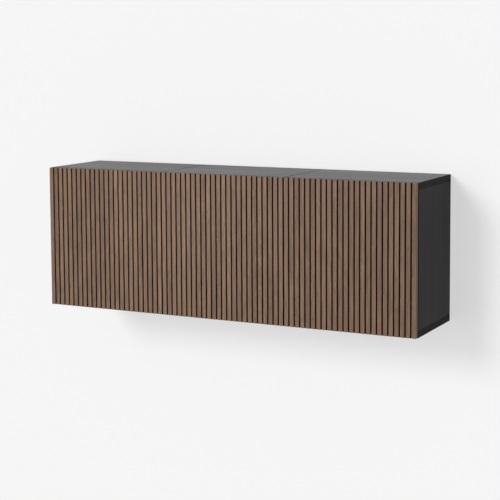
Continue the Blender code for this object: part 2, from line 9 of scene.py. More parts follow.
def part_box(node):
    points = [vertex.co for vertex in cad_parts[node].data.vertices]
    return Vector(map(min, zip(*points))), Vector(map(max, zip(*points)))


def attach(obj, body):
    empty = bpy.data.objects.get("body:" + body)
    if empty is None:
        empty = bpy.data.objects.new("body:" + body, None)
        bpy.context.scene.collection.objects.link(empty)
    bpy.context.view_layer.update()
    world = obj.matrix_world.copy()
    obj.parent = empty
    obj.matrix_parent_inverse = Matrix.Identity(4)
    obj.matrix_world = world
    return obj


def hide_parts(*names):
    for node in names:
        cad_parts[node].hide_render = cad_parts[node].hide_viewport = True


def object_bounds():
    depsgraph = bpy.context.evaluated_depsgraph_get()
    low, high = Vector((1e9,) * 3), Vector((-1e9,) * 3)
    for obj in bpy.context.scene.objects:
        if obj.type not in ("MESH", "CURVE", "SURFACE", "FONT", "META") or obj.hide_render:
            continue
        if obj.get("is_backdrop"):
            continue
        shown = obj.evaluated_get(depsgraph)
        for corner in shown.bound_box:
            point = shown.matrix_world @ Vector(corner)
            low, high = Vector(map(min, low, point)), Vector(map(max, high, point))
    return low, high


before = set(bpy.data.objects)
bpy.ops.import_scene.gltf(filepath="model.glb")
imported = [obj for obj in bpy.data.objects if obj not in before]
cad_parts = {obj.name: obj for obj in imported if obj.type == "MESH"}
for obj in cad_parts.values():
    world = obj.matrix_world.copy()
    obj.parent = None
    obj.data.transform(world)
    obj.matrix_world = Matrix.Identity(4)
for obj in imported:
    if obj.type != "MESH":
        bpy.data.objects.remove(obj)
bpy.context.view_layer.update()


# Carcass boards. Particle board under a black-brown foil with a pressed wood grain, edged with a thin band of
# the same colour. The top and bottom boards lie over the ends of the sides, and their outer edges are chamfered
# where two modules meet. These chamfers are near black, a painted shade that stands for the shadow in the seam.

def put(tree, kind, inputs=(), **options):
    """Add a node, set its options, and link or fill its inputs, which are given by name or number."""
    made = tree.nodes.new(kind)
    for name, value in options.items():
        setattr(made, name, value)
    for key, value in dict(inputs).items():
        socket = made.inputs[key]
        if isinstance(value, bpy.types.NodeSocket):
            tree.links.new(value, socket)
        else:
            socket.default_value = value
    return made


def maths(tree, operation, first, second=0.0):
    return put(tree, "ShaderNodeMath", {0: first, 1: second}, operation=operation).outputs[0]


def times(tree, first, second):
    return maths(tree, "MULTIPLY", first, second)


def minus(tree, first, second):
    return maths(tree, "SUBTRACT", first, second)


def scaled(tree, vector, factors):
    return put(tree, "ShaderNodeVectorMath", {0: vector, 1: factors}, operation="MULTIPLY").outputs[0]


def noise(tree, vector, detail=2.0, roughness=0.5, distortion=0.0):
    values = {"Vector": vector, "Scale": 1.0, "Detail": detail, "Roughness": roughness, "Distortion": distortion}
    return put(tree, "ShaderNodeTexNoise", values).outputs[0]


def remap(tree, value, source, target):
    values = {0: value, 1: source[0], 2: source[1], 3: target[0], 4: target[1]}
    return put(tree, "ShaderNodeMapRange", values).outputs[0]


def mixed(tree, factor, first, second, blend="MIX"):
    values = {0: factor, 6: first, 7: second}
    return put(tree, "ShaderNodeMix", values, data_type="RGBA", blend_type=blend).outputs[2]


def shade_colour(tree, shader, colour, shade):
    """Make the base colour darker or lighter by a value that changes over the surface."""
    grey = put(tree, "ShaderNodeCombineColor", {0: shade, 1: shade, 2: shade}).outputs[0]
    tree.links.new(mixed(tree, 1.0, colour, grey, "MULTIPLY"), shader.inputs["Base Color"])


def add_sockets(tree, in_out, kinds):
    """Give a node tree its named inputs or outputs, from a dictionary of their kinds."""
    for label, kind in kinds.items():
        tree.interface.new_socket(label, in_out=in_out, socket_type="NodeSocket" + kind)


def new_group(name, inputs, outputs):
    """A shader node group that puts out values. Returns the group, what it is given and what it puts out."""
    group = bpy.data.node_groups.new(name, "ShaderNodeTree")
    add_sockets(group, "INPUT", inputs)
    add_sockets(group, "OUTPUT", dict.fromkeys(outputs, "Float"))
    return group, group.nodes.new("NodeGroupInput").outputs, group.nodes.new("NodeGroupOutput").inputs


def grain_group():
    """Wood grain along Z: fibres, dark pores, streaks, flecks, broad tone, and the arches of the yearly rings."""
    group, given, result = new_group(
        "wood_grain", {"Vector": "Vector", "Fineness": "Float", "Rings": "Float"},
        ("Fibre", "Pore", "Streak", "Fleck", "Tone", "Ring"),
    )
    values = {0: given["Vector"], "Scale": given["Fineness"]}
    place = put(group, "ShaderNodeVectorMath", values, operation="SCALE").outputs[0]
    fibre = noise(group, scaled(group, place, (460.0, 460.0, 9.0)), 4.0, 0.6)
    pore = remap(group, noise(group, scaled(group, place, (1300.0, 1300.0, 60.0)), 1.0), (0.36, 0.44), (1.0, 0.0))
    streak = noise(group, scaled(group, place, (200.0, 200.0, 8.0)), 3.0, 0.6, 0.4)
    flecks = noise(group, scaled(group, place, (230.0, 230.0, 42.0)), 2.0, 0.5, 1.2)
    fleck = remap(group, flecks, (0.50, 0.60), (0.0, 1.0))
    tone = noise(group, scaled(group, place, (17.0, 17.0, 1.3)), 2.0)
    field = noise(group, scaled(group, place, (8.5, 8.5, 1.25)), 1.2, 0.45, 0.25)
    turns = maths(group, "FRACT", times(group, field, given["Rings"]))
    ring = times(group, maths(group, "POWER", turns, 2.4), remap(group, fibre, (0.3, 0.6), (0.5, 1.0)))
    outputs = {"Fibre": fibre, "Pore": pore, "Streak": streak, "Fleck": fleck, "Tone": tone, "Ring": ring}
    for label, value in outputs.items():
        group.links.new(value, result[label])
    return group


wood_grain = grain_group()


def new_material(name, roughness, metallic=0.0):
    """A material with its Principled shader. Returns the material, its tree and the shader."""
    mat = bpy.data.materials.new(name)
    mat.use_nodes = True
    shader = mat.node_tree.nodes["Principled BSDF"]
    shader.inputs["Roughness"].default_value = roughness
    shader.inputs["Metallic"].default_value = metallic
    return mat, mat.node_tree, shader


def bump(tree, shader, height, strength, distance):
    values = {"Strength": strength, "Distance": distance, "Height": height}
    tree.links.new(put(tree, "ShaderNodeBump", values).outputs[0], shader.inputs["Normal"])


def grain_in(tree, along, fineness, rings, shift=None):
    """The wood grain on a piece's own coordinates, shifted and turned to run along X or Z."""
    place = put(tree, "ShaderNodeTexCoord").outputs["Object"]
    if shift:
        place = put(tree, "ShaderNodeVectorMath", {0: place, 1: shift}, operation="ADD").outputs[0]
    if along == "X":
        place = put(tree, "ShaderNodeMapping", {0: place, "Rotation": (0.0, math.pi / 2, 0.0)}).outputs[0]
    values = {"Vector": place, "Fineness": fineness, "Rings": rings}
    return put(tree, "ShaderNodeGroup", values, node_tree=wood_grain)


def foil_material(name, colour, along, roughness, gloss=0.05):
    mat, tree, shader = new_material(name, roughness)
    grain = grain_in(tree, along, 0.9, 7.0)
    shade = remap(tree, grain.outputs["Fibre"], (0.25, 0.75), (0.72, 1.30))
    ringed = times(tree, shade, remap(tree, grain.outputs["Ring"], (0.0, 1.0), (1.06, 0.86)))
    pored = times(tree, ringed, remap(tree, grain.outputs["Pore"], (0.0, 1.0), (1.0, 0.6)))
    shade_colour(tree, shader, (*colour, 1.0), pored)
    rough = remap(tree, grain.outputs["Fibre"], (0.2, 0.8), (roughness - 0.05, roughness + 0.07))
    rough = maths(tree, "ADD", rough, remap(tree, grain.outputs["Tone"], (0.3, 0.7), (-0.03, 0.03)))
    tree.links.new(rough, shader.inputs["Roughness"])
    shader.inputs["Specular IOR Level"].default_value = gloss
    relief = minus(tree, grain.outputs["Fibre"], grain.outputs["Pore"])
    bump(tree, shader, relief, 0.35, 0.0002)
    return mat


foil_colour = (0.0125, 0.0120, 0.0123)
foil_upright = foil_material("foil_upright", foil_colour, "Z", 0.45)
foil_lengthwise = foil_material("foil_lengthwise", foil_colour, "X", 0.30, 0.060)
band_colour = (0.0088, 0.0080, 0.0067)
band_lengthwise = foil_material("edge_band_lengthwise", band_colour, "X", 0.52, 0.03)
band_upright = foil_material("edge_band_upright", band_colour, "Z", 0.52, 0.03)


flat_turn, sharp_turn = math.radians(0.5), math.radians(35)


def merged_copy(node):
    """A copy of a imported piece's mesh with its loose triangles joined up into whole flat faces."""
    bm = bmesh.new()
    bm.from_mesh(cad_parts[node].data)
    bmesh.ops.remove_doubles(bm, verts=bm.verts, dist=1e-6)
    bmesh.ops.dissolve_limit(
        bm, angle_limit=flat_turn, verts=bm.verts, edges=bm.edges, use_dissolve_boundaries=False,
    )
    return bm


def soften(bm, width, shortest=0.0, segments=2):
    """Round the sharp edges that are longer than the shortest."""
    sharp = [
        edge for edge in bm.edges
        if edge.is_manifold and edge.calc_face_angle() > sharp_turn and edge.calc_length() > shortest
    ]
    bmesh.ops.bevel(
        bm, geom=sharp, offset=width, offset_type="OFFSET", segments=segments, profile=0.5, affect="EDGES",
        clamp_overlap=True,
    )


def new_object(name, data):
    made = bpy.data.objects.new(name, data)
    bpy.context.scene.collection.objects.link(made)
    return made


def object_of(bm, name):
    mesh = bpy.data.meshes.new(name)
    bm.to_mesh(mesh)
    bm.free()
    return new_object(name, mesh)


largest_round = 4e-5    # square metres: only faces smaller than this are shaded round


def piece_from(bm, name, mats, body, slot, *replaced, choose=None, smooth=0):
    """Finish a piece: its object, its materials by face, its body and the nodes it stands for. The slot is not
    used.

    Edges that turn less than the smooth angle are shaded round, and large flat faces stay flat.
    """
    bm.normal_update()
    for edge in bm.edges:
        edge.smooth = bool(smooth) and edge.is_manifold and edge.calc_face_angle() < math.radians(smooth)
    for face in bm.faces:
        face.smooth = bool(smooth) and face.calc_area() < largest_round
        if choose:
            face.material_index = choose(face)
    piece = object_of(bm, name)
    for mat in mats:
        piece.data.materials.append(mat)
    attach(piece, body)
    if replaced:
        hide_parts(*replaced)


modules = ("left", "centre", "right")
board_round, joint_chamfer = 0.0008, 0.0022


def end_band(low, high, joints):
    """Chooses the edge band for the faces at a board's front and ends, and the painted shade on the chamfers at the
    joints.
    """
    def choose(face):
        middle = face.calc_center_median()
        if any(abs(middle.x - x) < joint_chamfer for x in joints):
            return 2
        at_front = middle.y < low.y + 2 * board_round
        at_end = min(middle.x - low.x, high.x - middle.x) < 2 * board_round
        return 1 if at_front or at_end else 0
    return choose


# Painted shade: a near-black finish on the joint chamfers and on the edges where two doors meet, standing for the
# shade in the seams and gaps.
painted_gap_shade = foil_material("painted_gap_shade", (0.0045, 0.0030, 0.0028), "Z", 0.85, 0.01)
for module in modules:
    for name in (f"top_panel_{module}", f"bottom_panel_{module}"):
        low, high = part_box(name)
        board = merged_copy(name)
        outer_z = high.z if "top" in name else low.z
        joints = [x for x, end in ((low.x, "left"), (high.x, "right")) if module != end]
        chamfered = [
            edge for edge in board.edges
            if all(abs(vert.co.z - outer_z) < 1e-5 for vert in edge.verts)
            and any(all(abs(vert.co.x - x) < 1e-5 for vert in edge.verts) for x in joints)
        ]
        bmesh.ops.bevel(
            board, geom=chamfered, offset=joint_chamfer, offset_type="OFFSET", segments=1, profile=0.5,
            affect="EDGES",
        )
        soften(board, board_round, shortest=0.01)
        piece_from(
            board, name.replace("panel", "board"), (foil_lengthwise, band_lengthwise, painted_gap_shade), "carcass",
            "carcass", name, choose=end_band(low, high, joints),
        )


# Side boards. The same board, standing, with an upright grain, a groove for the back, and two rows of
# drilled holes for the shelf pins. Two pins of turned steel are pressed into each side.

def speckle_group():
    """Fine marks of a worked metal or a moulded surface: a cloudy tone and thin random scratches."""
    group, given, result = new_group(
        "surface_marks", {"Vector": "Vector", "Grain": "Float", "Scratches": "Float"}, ("Cloud", "Grit", "Scratch"),
    )
    place = given["Vector"]
    cloud = noise(group, scaled(group, place, (90.0, 90.0, 90.0)), 3.0, 0.6)
    fine = put(group, "ShaderNodeVectorMath", {0: place, "Scale": given["Grain"]}, operation="SCALE")
    grit = noise(group, fine.outputs[0], 2.0, 0.6)
    lines = noise(group, scaled(group, place, (1900.0, 2600.0, 130.0)), 1.0, 0.5, 0.2)
    scratch = times(group, remap(group, lines, (0.66, 0.72), (0.0, 1.0)), given["Scratches"])
    for label, value in (("Cloud", cloud), ("Grit", grit), ("Scratch", scratch)):
        group.links.new(value, result[label])
    return group


surface_marks = speckle_group()


def marked_material(name, colour, roughness, metallic, grain=2200.0, scratches=0.0, depth=0.00003):
    """Metal, plastic or rubber: an even colour with a cloudy tone, and marks in its gloss and relief."""
    mat, tree, shader = new_material(name, roughness, metallic)
    place = put(tree, "ShaderNodeTexCoord").outputs["Object"]
    values = {"Vector": place, "Grain": grain, "Scratches": scratches}
    marks = put(tree, "ShaderNodeGroup", values, node_tree=surface_marks)
    tone = remap(tree, marks.outputs["Cloud"], (0.3, 0.7), (0.90, 1.06))
    shade_colour(tree, shader, (*colour, 1.0), tone)
    rough = remap(tree, marks.outputs["Cloud"], (0.3, 0.7), (roughness - 0.05, roughness + 0.06))
    rough = maths(tree, "ADD", rough, times(tree, marks.outputs["Scratch"], 0.12))
    tree.links.new(rough, shader.inputs["Roughness"])
    relief = minus(tree, marks.outputs["Grit"], marks.outputs["Scratch"])
    bump(tree, shader, relief, 0.3, depth)
    return mat


nickel = marked_material("nickel_plate", (0.63, 0.61, 0.58), 0.26, 1.0, scratches=0.6)


def turned(profile, count=28):
    """A closed piece turned round Z from (radius, z) points, which start and end on the axis."""
    bm = bmesh.new()
    rings = []
    for radius, z in profile:
        spots = 1 if radius == 0.0 else count
        angles = [2 * math.pi * i / spots for i in range(spots)]
        rings.append([bm.verts.new((radius * math.cos(a), radius * math.sin(a), z)) for a in angles])
    for near, far in zip(rings, rings[1:]):
        for i in range(count):
            j = (i + 1) % count
            corners = [near[i % len(near)], near[j % len(near)], far[j % len(far)], far[i % len(far)]]
            bm.faces.new(list(dict.fromkeys(corners)))
    bmesh.ops.recalc_face_normals(bm, faces=bm.faces)
    return bm


def as_mesh(made):
    """The object's evaluated shape as a plain mesh, with its modifiers taken off."""
    graph = bpy.context.evaluated_depsgraph_get()
    mesh = bpy.data.meshes.new_from_object(made.evaluated_get(graph))
    made.modifiers.clear()
    made.data = mesh
    return mesh


def drop(*spent):
    for made in spent:
        bpy.data.objects.remove(made, do_unlink=True)


def press(made, tool):
    """Cut another object's shape out of this one, and drop that object."""
    change = made.modifiers.new("press", "BOOLEAN")
    change.operation = "DIFFERENCE"
    change.object = tool
    as_mesh(made)
    drop(tool)


def bored(made, radius, depth, count, spot, quarter_turn):
    """Bore a round hole of a depth into an object, on the axis that Z takes by the quarter turn."""
    drill = turned([(0.0, -depth), (radius, -depth), (radius, depth), (0.0, depth)], count)
    turn = Matrix.Translation(spot) @ Matrix.Rotation(math.pi / 2, 4, quarter_turn)
    bmesh.ops.transform(drill, matrix=turn, verts=drill.verts)
    press(made, object_of(drill, "drill"))


def mesh_back(made):
    """The object's mesh for further work, with the object dropped."""
    bm = bmesh.new()
    bm.from_mesh(made.data)
    drop(made)
    return bm


def chipboard_material():
    mat, tree, shader = new_material("raw_chipboard", 0.85)
    place = put(tree, "ShaderNodeTexCoord").outputs["Object"]
    flakes = put(tree, "ShaderNodeTexVoronoi", {"Vector": place, "Scale": 700.0}).outputs["Color"]
    tone = mixed(tree, flakes, (0.30, 0.205, 0.120, 1.0), (0.52, 0.40, 0.27, 1.0))
    tree.links.new(tone, shader.inputs["Base Color"])
    bump(tree, shader, noise(tree, scaled(tree, place, (900.0,) * 3)), 0.6, 0.0003)
    return mat


def inner_face(low, high, inward):
    """The X of a side board's inner face, behind the pins that stand out of it."""
    return (high.x if inward > 0 else low.x) - inward * pin_reach


def side_faces(low, high, inward):
    """Chooses the foil, the edge band, the pins' steel or the raw core in the drilled holes."""
    def choose(face):
        middle = face.calc_center_median()
        rise = (middle.x - inner_face(low, high, inward)) * inward
        if rise > board_round / 10:
            return 2
        if middle.y < low.y + 2 * board_round:
            return 1
        at_end = min(middle.z - low.z, high.z - middle.z) < 2 * board_round
        return 3 if rise < -board_round / 10 and face.calc_area() < largest_round and not at_end else 0
    return choose


chipboard = chipboard_material()
round_below = 31        # degrees: edges of pins, tubes and cups that turn less are shaded round
sides = ("l", "r")
pin_reach, pin_below_shelf = 0.007, 0.0028
pin_hole_radius, pin_hole_depth, pin_hole_pitch, pin_hole_steps = 0.00252, 0.009, 0.032, (-2, -1, 1, 2)
pin_rows = (-0.328, -0.078)
pin_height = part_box("shelf_left")[0].z - pin_below_shelf
for module in modules:
    for side, inward in zip(sides, (1, -1)):
        name = f"side_panel_{module}_{side}"
        low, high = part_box(name)
        board = object_of(merged_copy(name), "board")
        for y in pin_rows:
            for step in pin_hole_steps:
                spot = (inner_face(low, high, inward), y, pin_height + step * pin_hole_pitch)
                bored(board, pin_hole_radius, pin_hole_depth, 24, spot, "Y")
        bm = mesh_back(board)
        bmesh.ops.dissolve_limit(bm, angle_limit=flat_turn, verts=bm.verts, edges=bm.edges)
        soften(bm, board_round, shortest=0.02)
        piece_from(
            bm, name.replace("panel", "board"), (foil_upright, band_upright, nickel, chipboard), "carcass",
            "carcass", name, choose=side_faces(low, high, inward), smooth=round_below,
        )


# Shelves. Loose boards of the same particle board and foil, banded all round. Each rests on its four pins, and
# lifts out.

def all_bands(low, high):
    """Chooses the edge band for every edge of a loose board."""
    def choose(face):
        middle = face.calc_center_median()
        near_x = min(middle.x - low.x, high.x - middle.x)
        near_y = min(middle.y - low.y, high.y - middle.y)
        return 1 if min(near_x, near_y) < 2 * board_round else 0
    return choose


for module in modules:
    name = f"shelf_{module}"
    board = merged_copy(name)
    soften(board, board_round)
    piece_from(
        board, f"shelf_board_{module}", (foil_lengthwise, band_lengthwise), "carcass", "carcass",
        name, choose=all_bands(*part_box(name)),
    )


# Back boards. Thin hard fibreboard slid into the grooves, with the foil on its front only. The raw back,
# which the wall hides, keeps the brown of the pressed fibres and its screen pattern.

def fibreboard_material():
    mat, tree, shader = new_material("raw_fibreboard", 0.82)
    place = put(tree, "ShaderNodeTexCoord").outputs["Object"]
    mottle = noise(tree, scaled(tree, place, (35.0, 35.0, 35.0)), 4.0, 0.7)
    chips = noise(tree, scaled(tree, place, (420.0, 420.0, 420.0)), 3.0, 0.7)
    tone = maths(tree, "ADD", times(tree, mottle, 0.5), times(tree, chips, 0.5))
    ramp = put(tree, "ShaderNodeValToRGB", {0: tone})
    stops = ((0.30, (0.095, 0.055, 0.030, 1.0)), (0.72, (0.230, 0.145, 0.080, 1.0)))
    for stop, (position, colour) in zip(ramp.color_ramp.elements, stops):
        stop.position, stop.color = position, colour
    tree.links.new(ramp.outputs[0], shader.inputs["Base Color"])
    screen = put(tree, "ShaderNodeTexVoronoi", {"Vector": place, "Scale": 520.0, "Randomness": 0.25}).outputs[0]
    bump(tree, shader, maths(tree, "ADD", screen, chips), 0.5, 0.0003)
    return mat


fibreboard = fibreboard_material()
for module in modules:
    name = f"back_panel_{module}"
    piece_from(
        merged_copy(name), f"back_board_{module}", (foil_upright, fibreboard), "carcass", "carcass", name,
        choose=lambda face: 0 if face.normal.y < -0.5 else 1,
    )


# Screws, cams and rivets. Each kind is turned once and pressed with its drive, and then set on its places,
# spun at random, so that one mesh holds all those of a kind on a body.

def cross_drive(length, width, top, depth):
    """A cross whose arms taper downwards, the drive that a screwdriver fits."""
    bm = bmesh.new()
    half = width / 2
    rings = []
    for z, reach in ((top - depth, 0.225 * length), (top, 0.5 * length)):
        quarter = [(reach, -half), (reach, half), (half, half)]
        outline = [Matrix.Rotation(math.pi / 2 * turn, 2) @ Vector(point) for turn in range(4) for point in quarter]
        rings.append([bm.verts.new((point.x, point.y, z)) for point in outline])
    lower, upper = rings
    bm.faces.new(lower[::-1])
    bm.faces.new(upper)
    for i in range(len(lower)):
        j = (i + 1) % len(lower)
        bm.faces.new([lower[i], lower[j], upper[j], upper[i]])
    bmesh.ops.recalc_face_normals(bm, faces=bm.faces)
    return bm


head_sunk = 0.0006


def pan_head(name, radius, height):
    """A domed screw head with a cross drive, standing on Z = 0."""
    angles = [math.pi / 2 * i / 5 for i in range(5)]
    curve = [(radius * math.cos(a), height * (0.35 + 0.65 * math.sin(a))) for a in angles]
    head = object_of(turned([(0.0, -head_sunk), (radius, -head_sunk), *curve, (0.0, height)]), name)
    press(head, object_of(cross_drive(radius * 1.25, radius * 0.26, height * 1.2, height * 0.95), "drive"))
    return head


def scatter_tree():
    """Sets one piece on each point, facing the way the point says, spun at random, and gives it a finish."""
    tree = bpy.data.node_groups.new("set_on_places", "GeometryNodeTree")
    add_sockets(tree, "INPUT", {
        "Geometry": "Geometry", "Piece": "Object", "Finish": "Material", "Spin": "Float", "Seed": "Int",
    })
    add_sockets(tree, "OUTPUT", {"Geometry": "Geometry"})
    given = tree.nodes.new("NodeGroupInput").outputs
    piece = put(tree, "GeometryNodeObjectInfo", {"Object": given["Piece"]}).outputs["Geometry"]
    facing = put(tree, "GeometryNodeInputNamedAttribute", {"Name": "facing"}, data_type="FLOAT_VECTOR")
    aligned = put(tree, "FunctionNodeAlignRotationToVector", {"Vector": facing.outputs[0]}, axis="Z").outputs[0]
    chance = put(tree, "FunctionNodeRandomValue", {2: 0.0, 3: given["Spin"], "Seed": given["Seed"]})
    spin = put(tree, "FunctionNodeAxisAngleToRotation", {"Axis": (0.0, 0.0, 1.0), "Angle": chance.outputs[1]})
    turned_to = put(
        tree, "FunctionNodeRotateRotation", {0: aligned, 1: spin.outputs[0]}, rotation_space="LOCAL",
    ).outputs[0]
    values = {"Points": given["Geometry"], "Instance": piece, "Rotation": turned_to}
    placed = put(tree, "GeometryNodeInstanceOnPoints", values).outputs[0]
    real = put(tree, "GeometryNodeRealizeInstances", {0: placed}).outputs[0]
    done = put(tree, "GeometryNodeSetMaterial", {"Geometry": real, "Material": given["Finish"]}).outputs[0]
    tree.links.new(done, tree.nodes.new("NodeGroupOutput").inputs[0])
    return tree


set_on_places = scatter_tree()


def tree_input(modifier, label, value):
    """Set a modifier's input by the identifier of the tree's socket with that name."""
    for item in modifier.node_group.interface.items_tree:
        if item.in_out == "INPUT" and item.name == label:
            modifier[item.identifier] = value


def set_rows(name, piece, places, mat, body, spin=2 * math.pi, seed=3):
    """Set a turned piece on (point, facing) places that share a body, as one plain mesh."""
    mesh = bpy.data.meshes.new(name)
    mesh.from_pydata([tuple(point) for point, _ in places], [], [])
    facing = mesh.attributes.new("facing", "FLOAT_VECTOR", "POINT")
    facing.data.foreach_set("vector", [part for _, way in places for part in way])
    rows = new_object(name, mesh)
    change = rows.modifiers.new("places", "NODES")
    change.node_group = set_on_places
    tree_input(change, "Piece", piece)
    tree_input(change, "Finish", mat)
    tree_input(change, "Spin", spin)
    tree_input(change, "Seed", seed)
    made = as_mesh(rows)
    made.shade_smooth()
    made.set_sharp_from_angle(angle=sharp_turn)
    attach(rows, body)


def cam_disc():
    """The slotted zinc cam of a corner fitting, flush with the board."""
    radius, proud = 0.0075, 0.0003
    disc = object_of(turned([
        (0.0, -0.001), (radius, -0.001), (radius, proud - 0.0002), (radius - 0.0003, proud),
        (radius - 0.0016, proud), (radius - 0.0019, proud - 0.0005), (0.0, proud - 0.0005),
    ], 36), "cam")
    press(disc, object_of(cross_drive(length=0.0085, width=0.0014, top=0.001, depth=0.0014), "drive"))
    return disc


zinc = marked_material("zinc_plate", (0.56, 0.57, 0.59), 0.36, 1.0, grain=1500.0, scratches=0.4)
cast_zinc = marked_material("cast_zinc", (0.40, 0.40, 0.41), 0.46, 1.0, grain=3000.0)


def on_sides(rows, inset, chosen):
    """Places and facings on the inner faces of the chosen sides, in two rows near their upper and lower ends."""
    places = []
    for module in modules:
        for side, inward in zip(sides, (1, -1)):
            if (module, side) in chosen:
                low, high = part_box(f"side_panel_{module}_{side}")
                x = inner_face(low, high, inward)
                places += [((x, y, z), (inward, 0, 0)) for z in (low.z + inset, high.z - inset) for y in rows]
    return places


cam_rows, cam_inset = (-0.330, -0.085), 0.034
all_sides = [(module, side) for module in modules for side in sides]
cam = cam_disc()
set_rows("corner_cams", cam, on_sides(cam_rows, cam_inset, all_sides), cast_zinc, "carcass", seed=11)
drop(cam)


# Connecting bolts. Flat-headed sleeve bolts through the two sides that meet, four at each joint, which
# hold the modules together. Their heads show inside the cabinet.

bolt_rows, bolt_inset = (-0.290, -0.115), 0.120
joined_sides = all_sides[1:-1]
bolt = pan_head("bolt", radius=0.0068, height=0.0016)
bolt_heads = on_sides(bolt_rows, bolt_inset, joined_sides)
set_rows("connecting_bolts", bolt, bolt_heads, nickel, "carcass", seed=5)
drop(bolt)


# Wall rails and hangers. The rail is folded from 2 mm zinc-plated steel and screwed to the wall. In each
# upper corner a hanger box hooks over its lip, with two screws that lift and draw in the cabinet.

rail_round, hanger_round = 0.0004, 0.0006
for module in modules:
    rail = merged_copy(f"wall_rail_{module}")
    soften(rail, rail_round, shortest=0.01)
    piece_from(rail, f"rail_{module}", (zinc,), "carcass", "rail_steel", f"wall_rail_{module}", smooth=round_below)
    for side in sides:
        box = merged_copy(f"hanger_{module}_{side}")
        soften(box, hanger_round, shortest=0.002)
        piece_from(
            box, f"hanger_box_{module}_{side}", (zinc,), "carcass", "rail_steel", f"hanger_{module}_{side}",
            smooth=round_below,
        )

rail_screw_count, rail_hole_share, rail_front = 4, 0.306, -0.0021
hanger_screw_drops = (0.014, 0.038)
wall_screws, hanger_screws = [], []
for module in modules:
    low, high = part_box(f"wall_rail_{module}")
    spacing = (high.x - low.x) / rail_screw_count
    hole_z = low.z + (high.z - low.z) * rail_hole_share
    for i in range(rail_screw_count):
        wall_screws.append(((low.x + (i + 0.5) * spacing, rail_front, hole_z), (0, -1, 0)))
    for side in sides:
        low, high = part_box(f"hanger_{module}_{side}")
        middle = (low.x + high.x) / 2
        for below in hanger_screw_drops:
            hanger_screws.append(((middle, low.y, high.z - below), (0, -1, 0)))
wall_head = pan_head("wall_head", radius=0.0055, height=0.0026)
set_rows("wall_screws", wall_head, wall_screws, zinc, "carcass", seed=7)
hanger_head = pan_head("hanger_head", radius=0.0040, height=0.0016)
set_rows("hanger_screws", hanger_head, hanger_screws, nickel, "carcass", seed=9)
drop(wall_head, hanger_head)


# Concealed hinges. Pressed and nickel-plated steel: a cup in the door, an arm on its plate at the cabinet's
# side, and two bent links on riveted pins between them. The arm has its two adjusting screws.

hands = {"left": 1, "centre": 1, "right": -1}
heights = ("lower", "upper")
hinge_round = 0.00025
for module in modules:
    for height in heights:
        tag = f"{module}_{height}"
        for part, body in (
            ("hinge_cup", f"{module}_door"), ("hinge_arm", "carcass"),
            ("hinge_outer_link", f"{module}_outer_links"), ("hinge_inner_link", f"{module}_inner_links"),
        ):
            pressed = merged_copy(f"{part}_{tag}")
            soften(pressed, hinge_round, shortest=0.0009, segments=1)
            piece_from(
                pressed, f"{part}_shell_{tag}", (nickel,), body, "hinge_steel", f"{part}_{tag}", smooth=round_below,
            )

plate_top, plate_screw_y, plate_screw_rise = 0.0034, -0.363, 0.0178
screw_seat, arm_screw_rows = 0.0003, (-0.388, -0.352)
door_back_y, rivet_rise = -0.402, 0.0065
rivet_pins = ((0.03185, 0.01235), (0.03275, -0.00550))      # across from the door's edge, back from its back
hinge_edges = {module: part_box(f"door_{module}")[0 if hands[module] > 0 else 1].x for module in modules}
plate_screws, arm_screws, rivets = [], [], []
for module in modules:
    hand = hands[module]
    for height in heights:
        low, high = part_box(f"hinge_arm_{module}_{height}")
        middle = (low.z + high.z) / 2
        seat, crown = (low.x, high.x) if hand > 0 else (high.x, low.x)
        for way in (-1, 1):
            spot = (seat + hand * plate_top, plate_screw_y, middle + way * plate_screw_rise)
            plate_screws.append((spot, (hand, 0, 0)))
        for y in arm_screw_rows:
            arm_screws.append(((crown - hand * screw_seat, y, middle), (hand, 0, 0)))
        for across, back in rivet_pins:
            for way in (-1, 1):
                spot = (hinge_edges[module] + hand * across, back + door_back_y, middle + way * rivet_rise)
                rivets.append((spot, (0, 0, way)))
plate_head = pan_head("plate_head", radius=0.0038, height=0.0018)
set_rows("hinge_plate_screws", plate_head, plate_screws, nickel, "carcass", seed=13)
arm_head = pan_head("arm_head", radius=0.0033, height=0.0010)
set_rows("hinge_arm_screws", arm_head, arm_screws, zinc, "carcass", seed=17)
rivet = object_of(turned([
    (0.0, -0.0005), (0.0013, -0.0005), (0.0013, 0.0), (0.0016, 0.0001), (0.0014, 0.00035), (0.0008, 0.0005),
    (0.0, 0.0005),
], 16), "rivet")
set_rows("hinge_rivets", rivet, rivets, nickel, "carcass", seed=29)
cup_screw_across, cup_screw_rise = 0.0305, 0.0238
for module in modules:
    screw_x = hinge_edges[module] + hands[module] * cup_screw_across
    spots = []
    for height in heights:
        low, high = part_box(f"hinge_cup_{module}_{height}")
        middle = (low.z + high.z) / 2
        for way in (-1, 1):
            spots.append(((screw_x, high.y - screw_seat, middle + way * cup_screw_rise), (0, 1, 0)))
    set_rows(f"hinge_cup_screws_{module}", arm_head, spots, zinc, f"{module}_door", seed=19)
drop(plate_head, rivet, arm_head)
